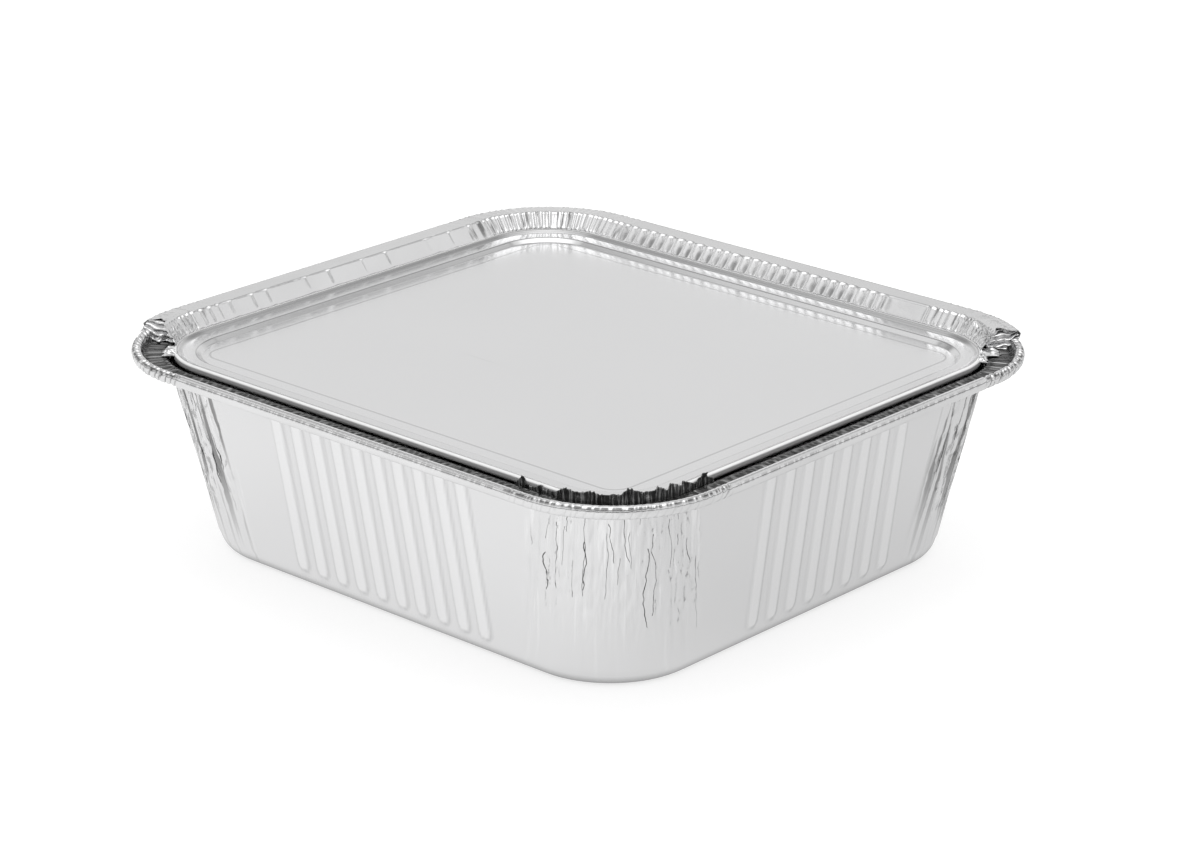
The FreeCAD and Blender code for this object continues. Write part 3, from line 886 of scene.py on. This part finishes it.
def buildCollar():
    section = collarSection()
    piece = foilSheet("lidCollar", collarRows(section), False, True)
    sizes = picked(collar, "pleatPitch pleatHeight flutePitch fluteHeight ripplePitch rippleHeight seed")
    tree, start, ids = newGeometryTree("collarPressing", sizes)
    size = start.outputs
    along = factOf(tree, "along")
    across = factOf(tree, "across")
    corner = ramp(factOf(tree, "onCorner"), 0.1, 0.5)

    def onSide(name):
        apart = calc("ABSOLUTE", minus(factOf(tree, "sideKind"), sideKinds[name]))
        return times(calc("LESS_THAN", apart, 0.5), minus(1.0, corner))

    fluted = onSide("right")
    rippled = onSide("back")
    onWall = times(ramp(across, *collar["wallFrom"]), ramp(across, *collar["wallTo"]))
    onTop = ramp(across, *collar["topFrom"])

    # A wave along the wall, whose pitch wanders.
    def wave(pitch, pace, amount, slot):
        wander = times(noiseAt(over(along, pace), slot, size["seed"], 2.0), amount)
        return calc("SINE", times(plus(over(along, pitch), wander), math.tau))

    pleat = wave(size["pleatPitch"], 3.0, 3.0, 0.0)
    pleat = times(pleat, size["pleatHeight"], corner, plus(onWall, times(onTop, 0.25)))
    fluteWave = wave(size["flutePitch"], 14.0, 1.6, 5.0)
    # The flutes fade out towards the right corner, where the foil is smooth.
    fluted = times(fluted, ramp(factOf(tree, "sideX"), *collar["fluteFade"]))
    flute = times(fluteWave, size["fluteHeight"], ramp(across, 6.0, 4.2, 0.35, 1.0), fluted, onWall)
    pulse = calc("POWER", calc("MAXIMUM", wave(size["ripplePitch"], 20.0, 4.0, 9.0), 0.0), 10.0)
    ripple = times(pulse, size["rippleHeight"], rippled, onWall)
    # Painted shade in the slots between the flutes' feet, in dark strips on the pleated corners, and over the
    # flange's top.
    patch = ramp(noiseAt(over(along, 13.0), 15.0, size["seed"], 1.0), 0.35, 0.6, 0.4, 0.85)
    low = times(ramp(across, 0.1, 0.7), ramp(across, 4.4, 2.6))
    slot = times(ramp(fluteWave, 0.1, -0.5), low, fluted, patch)
    strip = noiseAt(over(along, 1.5), over(across, 14.0), size["seed"], 2.0)
    strip = times(ramp(strip, 0.56, 0.64), corner, onWall)
    dark = calc("MAXIMUM", calc("MAXIMUM", slot, strip), ramp(across, 5.9, 6.6, 0.0, collar["flangeTopShade"]))
    finishGeometryTree(tree, start, plus(pleat, flute, ripple), collarFoil, {"slot": dark})
    runTree(piece, tree, ids, sizes)
    # Nothing stands above the lid's top edge.
    for vertex in piece.data.vertices:
        vertex.co.z = min(vertex.co.z, (rim["footHeight"] + collar["wallRise"] + collar["topClear"]) * mm)
    thicken(piece, collar["foil"])
    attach(piece, "root")
    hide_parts("lid")
    print("lid collar", len(piece.data.polygons))


# Crown: what is left of the wall at the front corner, with its torn top edge.
crown = {
    "foil": 0.2, "overrun": 12.0, "rows": 12, "step": 0.22, "base": 54.6, "baseInset": 11.3,
    "pleatPitch": 2.6, "pleatHeight": 0.3, "seed": 5,
    # Height of the torn edge over the lid's foot, against millimetres along the crown.
    "tear": [(0.0, -1.6), (1.3, -0.2), (2.5, 1.0), (3.6, -0.9), (6.4, -1.3), (8.7, 0.3), (9.8, -0.9),
             (13.4, -0.4), (16.1, 1.4), (19.6, 0.6), (22.5, 1.5), (24.9, 0.7), (30.0, 0.8), (31.5, 2.5),
             (35.2, 0.8), (37.8, 1.1), (38.7, 2.0), (41.5, 0.4), (41.9, 2.1), (46.1, 0.5), (46.9, 1.3),
             (51.2, -0.6), (53.2, 1.0), (54.9, 1.7), (56.3, -0.4), (60.0, -1.6)],
    "fray": 0.35, "ruffle": 0.3,
}


def tearHeight(reached):
    points = crown["tear"]
    for (start, low), (end, high) in zip(points, points[1:]):
        if reached <= end:
            return low + (high - low) * (reached - start) / (end - start)
    return points[-1][1]


def buildCrown():
    longSide = rim["length"] - 2 * rim["corner"]
    shortSide = rim["width"] - 2 * rim["corner"]
    arc = math.radians(90) * (rim["corner"] - rim["foot"])
    total = arc + 2 * crown["overrun"]
    count = round(total / crown["step"])
    rows = []
    for k in range(count + 1):
        reached = total * k / count
        pastStart = reached - crown["overrun"]
        if pastStart < 0:
            spot = station("left", fraction=1 + pastStart / longSide)
        elif pastStart <= arc:
            spot = station("front", turn=90 * pastStart / arc)
        else:
            spot = station("front", fraction=(pastStart - arc) / shortSide)
        frayed = crown["fray"] * noise.noise(Vector((reached * 1.9, 0.0, crown["seed"])))
        top = tearHeight(reached) + frayed
        ear = smooth(abs(k / count - 0.5), 0.38, 0.47)
        sway = 2.0 * noise.noise(Vector((reached / 4, 1.0, 2.0)))
        fold = math.sin(math.tau * (reached / crown["pleatPitch"] + sway))
        row = []
        for j in range(crown["rows"]):
            t = j / (crown["rows"] - 1)
            height = crown["base"] + (rim["footHeight"] + top - crown["base"]) * t
            # The foil leans out above the foot, more so at its two ears.
            inset = crown["baseInset"] - max(height - rim["footHeight"], 0.0) * (0.1 + 0.4 * ear)
            ruffle = crown["ruffle"] * noise.noise(Vector((reached / 2.2, height / 2.5, 8.0)))
            row.append(pointOf(spot, inset, height, push=(crown["pleatHeight"] * fold + ruffle) * t))
        rows.append(row)
    piece = foilSheet("lidCrown", rows, False, True)
    piece.data.materials.append(crownShadeFoil)
    thicken(piece, crown["foil"])
    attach(piece, "root")
    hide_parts("lid")
    print("lid crown", len(piece.data.polygons))


# Torn strips: crumpled foil left on the ledge, and the folded layers seen at the flange's torn ends.
torn = {
    "foil": 0.15, "step": 0.35, "columns": 12,
    "strips": [
        # name, corner, from and to in degrees, reach, crumple, seed
        ("tornLeftInner", "left", 32.0, 58.0, 4.2, 1.5, 3.0),
        ("tornRightInner", "right", 22.0, 50.0, 4.4, 1.6, 27.0),
        ("tornRightOuter", "right", 34.0, 50.0, 6.2, 1.2, 41.0),
    ],
    "curtains": [
        # name, corner, turn in degrees at its top and at its bottom, seed
        ("foldLeft", "left", 17.0, 26.0, 5.0),
        ("foldRight", "right", 58.0, 52.0, 17.0),
    ],
    "curtainTop": 60.0, "curtainFoot": 55.75, "curtainSlope": 0.022, "curtainReach": (9.6, 0.3),
    "overBead": 3.4, "beadSlope": 0.85,     # the foot climbs over the rolled edge from this inset outward
    "curtainColumns": 36, "curtainRows": 32, "ripples": 3.4, "rippleDepth": 1.5,
}


def finishLoose(piece, foil, material):
    piece.data.materials.append(material)
    thicken(piece, foil)
    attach(piece, "root")
    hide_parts("lid")
    print(piece.name, len(piece.data.polygons))


def buildTorn():
    radius = rim["corner"] - rim["foot"]
    for name, corner, begin, finish, reach, crumple, seed in torn["strips"]:
        count = round(math.radians(finish - begin) * radius / torn["step"])
        rows = []
        for k in range(count + 1):
            share = k / count
            turn = begin + (finish - begin) * share
            jag = 0.55 + 0.9 * noise.noise(Vector((turn / 2.2, seed, 0.5)))
            length = reach * min(max(jag, 0.15), 1.0) * smooth(min(share, 1 - share), -0.02, 0.12)
            row = []
            for j in range(torn["columns"]):
                t = j / (torn["columns"] - 1)
                inset = rim["foot"] + 0.2 - length * t
                bulge = crumple * noise.noise(Vector((turn / 2.6, t * 2.4, seed)))
                height = rim["footHeight"] - 0.25 + math.sin(math.pi * t) * (0.5 + bulge) - 0.6 * t
                height = max(height, rim["ledge"] + 0.25)
                row.append(pointOf(station(corner, turn=turn), inset, height))
            rows.append(row)
        finishLoose(foilSheet(name, rows, False, True), torn["foil"], collarFoil)
    # Curtains: foil folded down in layers from the flange's torn end to the ledge.
    inner, outer = torn["curtainReach"]
    for name, corner, begin, finish, seed in torn["curtains"]:
        rows = []
        for k in range(torn["curtainColumns"] + 1):
            inset = inner + (outer - inner) * k / torn["curtainColumns"]
            floor = torn["curtainFoot"] + max(0.0, torn["overBead"] - inset) * torn["beadSlope"]
            shake = 0.25 * noise.noise(Vector((inset / 3, seed, 0)))
            row = []
            for j in range(torn["curtainRows"] + 1):
                t = j / torn["curtainRows"]
                layer = math.sin(math.tau * (torn["ripples"] * t + shake))
                wild = noise.noise(Vector((inset / 2.2, t * 2.5, seed)))
                turn = begin + (finish - begin) * t + torn["rippleDepth"] * layer + 3.5 * wild * t
                top = torn["curtainTop"] - torn["curtainSlope"] * inset * (1 - t)
                height = top - (torn["curtainTop"] - floor) * t
                row.append(pointOf(station(corner, turn=turn), inset + 0.5 * wild * t, height))
            rows.append(row)
        finishLoose(foilSheet(name, rows, False, True), torn["foil"], collarFoil)


buildWalls()
buildRim()
buildPanel()
buildHem()
buildCollar()
buildCrown()
buildTorn()

# Camera at the photograph's angle and framing. Its focal length is in pixels of an image 1184 pixels wide.
view = {"turn": 42.476, "rise": 20.603, "distance": 995.4, "side": 4.017, "lift": 32.444,
        "pixelLength": 3609.3, "imageWidth": 1184, "sensor": 36.0}


def makeCamera():
    turn, rise = math.radians(view["turn"]), math.radians(view["rise"])
    back = Vector((math.sin(turn) * math.cos(rise), -math.cos(turn) * math.cos(rise), math.sin(rise)))
    right = Vector((math.cos(turn), math.sin(turn), 0))
    place = right * view["side"] + Vector((0, 0, view["lift"])) + back * view["distance"]
    data = bpy.data.cameras.new("camera")
    data.sensor_width = view["sensor"]
    data.lens = view["pixelLength"] * view["sensor"] / view["imageWidth"]
    data.clip_end = 20.0
    camera = bpy.data.objects.new("camera", data)
    camera.location = place * mm
    camera.rotation_euler = (-back).to_track_quat("-Z", "Y").to_euler()
    scene.collection.objects.link(camera)
    scene.camera = camera


makeCamera()

# Studio: white to the camera, with a soft shadow. The foil shows it as panels, seams and a dark camera side.
studio = {
    "floorSize": 12.0, "floorTone": 0.50, "floorGlow": 0.62,
    # Floor tones in the foil's reflections: painted shade to the right, painted shadow beside and under the
    # tray.
    "floorLeft": 0.885, "floorRight": 0.705, "underShadow": 0.10, "besideShadow": 0.905,
    "footprint": (0.081, 0.0735), "footCorner": 0.026,
    "worldLight": 1.0, "tent": 0.83, "behindLow": 0.74, "behindHigh": 0.38, "sideHigh": 0.735,
    "horizon": 0.10, "cameraSide": 0.05, "seamTone": 0.25, "overhead": 1.35,
    "leftSeams": [(0.735, 0.775), (0.52, 0.60)], "rightSeam": (0.74, 0.78),
    "lampPower": 2.0, "lampHeight": 1.7, "lampSize": 1.2,
}


def dotWith(vector, direction):
    node = treeOf(vector).nodes.new("ShaderNodeVectorMath")
    node.operation = "DOT_PRODUCT"
    feed(node, 0, vector)
    feed(node, 1, direction)
    return node.outputs["Value"]


# Moves a tone towards another one where the mask is set.
def toned(tone, mask, target):
    mix = treeOf(tone, mask, target).nodes.new("ShaderNodeMix")
    mix.data_type = "FLOAT"
    for index, value in ((0, mask), (2, tone), (3, target)):
        feed(mix, index, value)
    return mix.outputs[0]


def floorMaterial():
    material = bpy.data.materials.new("floor")
    material.use_nodes = True
    tree = material.node_tree
    tree.nodes.remove(tree.nodes["Principled BSDF"])
    path = tree.nodes.new("ShaderNodeLightPath")
    diffuse = tree.nodes.new("ShaderNodeBsdfDiffuse")
    diffuse.inputs["Color"].default_value = (studio["floorTone"],) * 3 + (1,)
    glow = tree.nodes.new("ShaderNodeEmission")
    glow.inputs["Strength"].default_value = studio["floorGlow"]
    seen = tree.nodes.new("ShaderNodeAddShader")
    tree.links.new(diffuse.outputs[0], seen.inputs[0])
    tree.links.new(glow.outputs[0], seen.inputs[1])
    place = tree.nodes.new("ShaderNodeTexCoord").outputs["Object"]
    parts = tree.nodes.new("ShaderNodeSeparateXYZ")
    tree.links.new(place, parts.inputs[0])
    past = [minus(calc("ABSOLUTE", parts.outputs[k]),
                 studio["footprint"][k] - studio["footCorner"]) for k in (0, 1)]
    past = [calc("MAXIMUM", value, 0.0) for value in past]
    squares = [times(value, value) for value in past]
    apart = minus(calc("SQRT", plus(*squares)), studio["footCorner"])
    turn = math.radians(view["turn"])
    across = dotWith(place, (math.cos(turn), math.sin(turn), 0))
    # Seen in the foil, the floor is painted darker to the right as shade, darker beside the tray and darkest
    # under it as painted shadow.
    tone = ramp(across, -0.03, 0.075, studio["floorLeft"], studio["floorRight"])
    tone = times(tone, ramp(apart, 0.0, 0.06, studio["besideShadow"], 1.0))
    tone = toned(tone, ramp(apart, 0.004, -0.006), studio["underShadow"])
    mirror = tree.nodes.new("ShaderNodeEmission")
    tree.links.new(tone, mirror.inputs["Strength"])
    choose = tree.nodes.new("ShaderNodeMixShader")
    tree.links.new(path.outputs["Is Glossy Ray"], choose.inputs[0])
    tree.links.new(seen.outputs[0], choose.inputs[1])
    tree.links.new(mirror.outputs[0], choose.inputs[2])
    tree.links.new(choose.outputs[0], tree.nodes["Material Output"].inputs["Surface"])
    return material


def tentTone(direction):
    turn = math.radians(view["turn"])
    towards = dotWith(direction, (math.sin(turn), -math.cos(turn), 0))
    sideways = dotWith(direction, (math.cos(turn), math.sin(turn), 0))
    height = dotWith(direction, (0, 0, 1))
    behind = ramp(towards, -0.45, -0.65)
    leftSide = ramp(sideways, -0.2, -0.4)
    rightSide = ramp(sideways, 0.2, 0.4)
    nearCamera = times(ramp(towards, 0.35, 0.55), bandOf(sideways, -0.5, 0.5, 0.08))
    # The dark camera side stops where a level sheet seen from behind would show it.
    levelBand = minus(1.0, bandOf(height, 0.23, 0.46, 0.03))
    # Each panel of the tent: where it is, and its tone. A later one covers an earlier one.
    panels = [
        (times(behind, bandOf(height, 0.02, 0.26, 0.03)), "behindLow"),
        (times(behind, bandOf(height, 0.52, 0.74, 0.06)), "behindHigh"),
        (times(ramp(sideways, 0.3, 0.5), bandOf(height, 0.3, 0.7, 0.1)), "sideHigh"),
        (ramp(height, 0.84, 0.9), "overhead"),
    ]
    for low, high in studio["leftSeams"]:
        panels.append((times(leftSide, bandOf(height, low, high, 0.012)), "seamTone"))
    panels += [
        (times(rightSide, bandOf(height, *studio["rightSeam"], 0.012)), "seamTone"),
        (times(ramp(towards, -0.75, -0.45), bandOf(height, -0.05, 0.13, 0.02)), "horizon"),
        (times(nearCamera, levelBand, ramp(height, 0.72, 0.62)), "cameraSide"),
    ]
    tone = studio["tent"]
    for mask, name in panels:
        tone = toned(tone, mask, studio[name])
    return tone


def makeStudio():
    size = studio["floorSize"] / 2
    mesh = bpy.data.meshes.new("floor")
    corners = [(-size, -size, 0), (size, -size, 0), (size, size, 0), (-size, size, 0)]
    mesh.from_pydata(corners, [], [(0, 1, 2, 3)])
    floor = bpy.data.objects.new("floor", mesh)
    scene.collection.objects.link(floor)
    mesh.materials.append(floorMaterial())
    world = bpy.data.worlds.new("studio")
    scene.world = world
    world.use_nodes = True
    tree = world.node_tree
    path = tree.nodes.new("ShaderNodeLightPath")
    direction = tree.nodes.new("ShaderNodeTexCoord").outputs["Generated"]
    strength = toned(path.outputs["Is Camera Ray"], 1.0, studio["worldLight"])
    strength = toned(strength, path.outputs["Is Glossy Ray"], tentTone(direction))
    tree.links.new(strength, tree.nodes["Background"].inputs["Strength"])
    tree.nodes["Background"].inputs["Color"].default_value = (1, 1, 1, 1)
    data = bpy.data.lights.new("overhead", "AREA")
    data.size = studio["lampSize"]
    data.energy = studio["lampPower"]
    lamp = bpy.data.objects.new("overhead", data)
    lamp.location = (0, 0, studio["lampHeight"])
    scene.collection.objects.link(lamp)


makeStudio()
scene.view_settings.view_transform = "Standard"

print("scene built")
